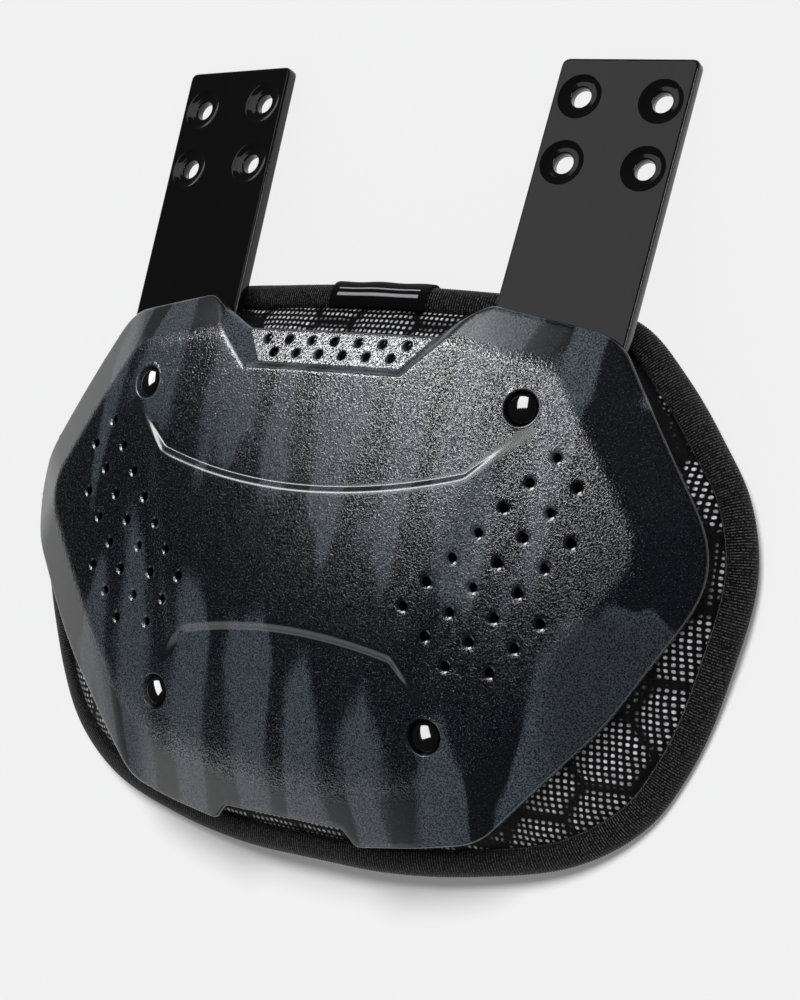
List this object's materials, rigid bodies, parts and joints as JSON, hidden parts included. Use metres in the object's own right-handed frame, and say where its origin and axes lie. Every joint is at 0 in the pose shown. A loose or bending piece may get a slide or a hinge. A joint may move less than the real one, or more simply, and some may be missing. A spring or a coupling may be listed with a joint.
{
  "type": "football back plate",
  "caption": "Curved, faceted lower-back guard with vented moulded shell, padded cloth backing and a pair of drilled straps that bolt it to shoulder pads.",
  "frame": {"origin": "on the surface that the plate lies on, under the middle of its outline", "axes": "+X across the plate to its right as seen from outside, +Y up the wearer's back towards the straps, +Z out through the shell"},
  "size_m": [0.317, 0.2986, 0.0541],
  "materials": {
    "shell": "fine grained, slate grey and near black airbrushed print",
    "strap": "polished black",
    "rivet": "polished black",
    "pad": "black mesh with pale dots, quilted in hexagons",
    "binding": "ribbed knitted tape",
    "label": "smooth woven tape"
  },
  "bodies": {
    "root": {"shell": "shell", "strap_left": "strap", "strap_right": "strap", "rivet_top_left": "rivet", "rivet_top_right": "rivet", "rivet_bottom_left": "rivet", "rivet_bottom_right": "rivet", "pad": "pad", "binding": "binding", "label": "label"}
  },
  "joints": []
}
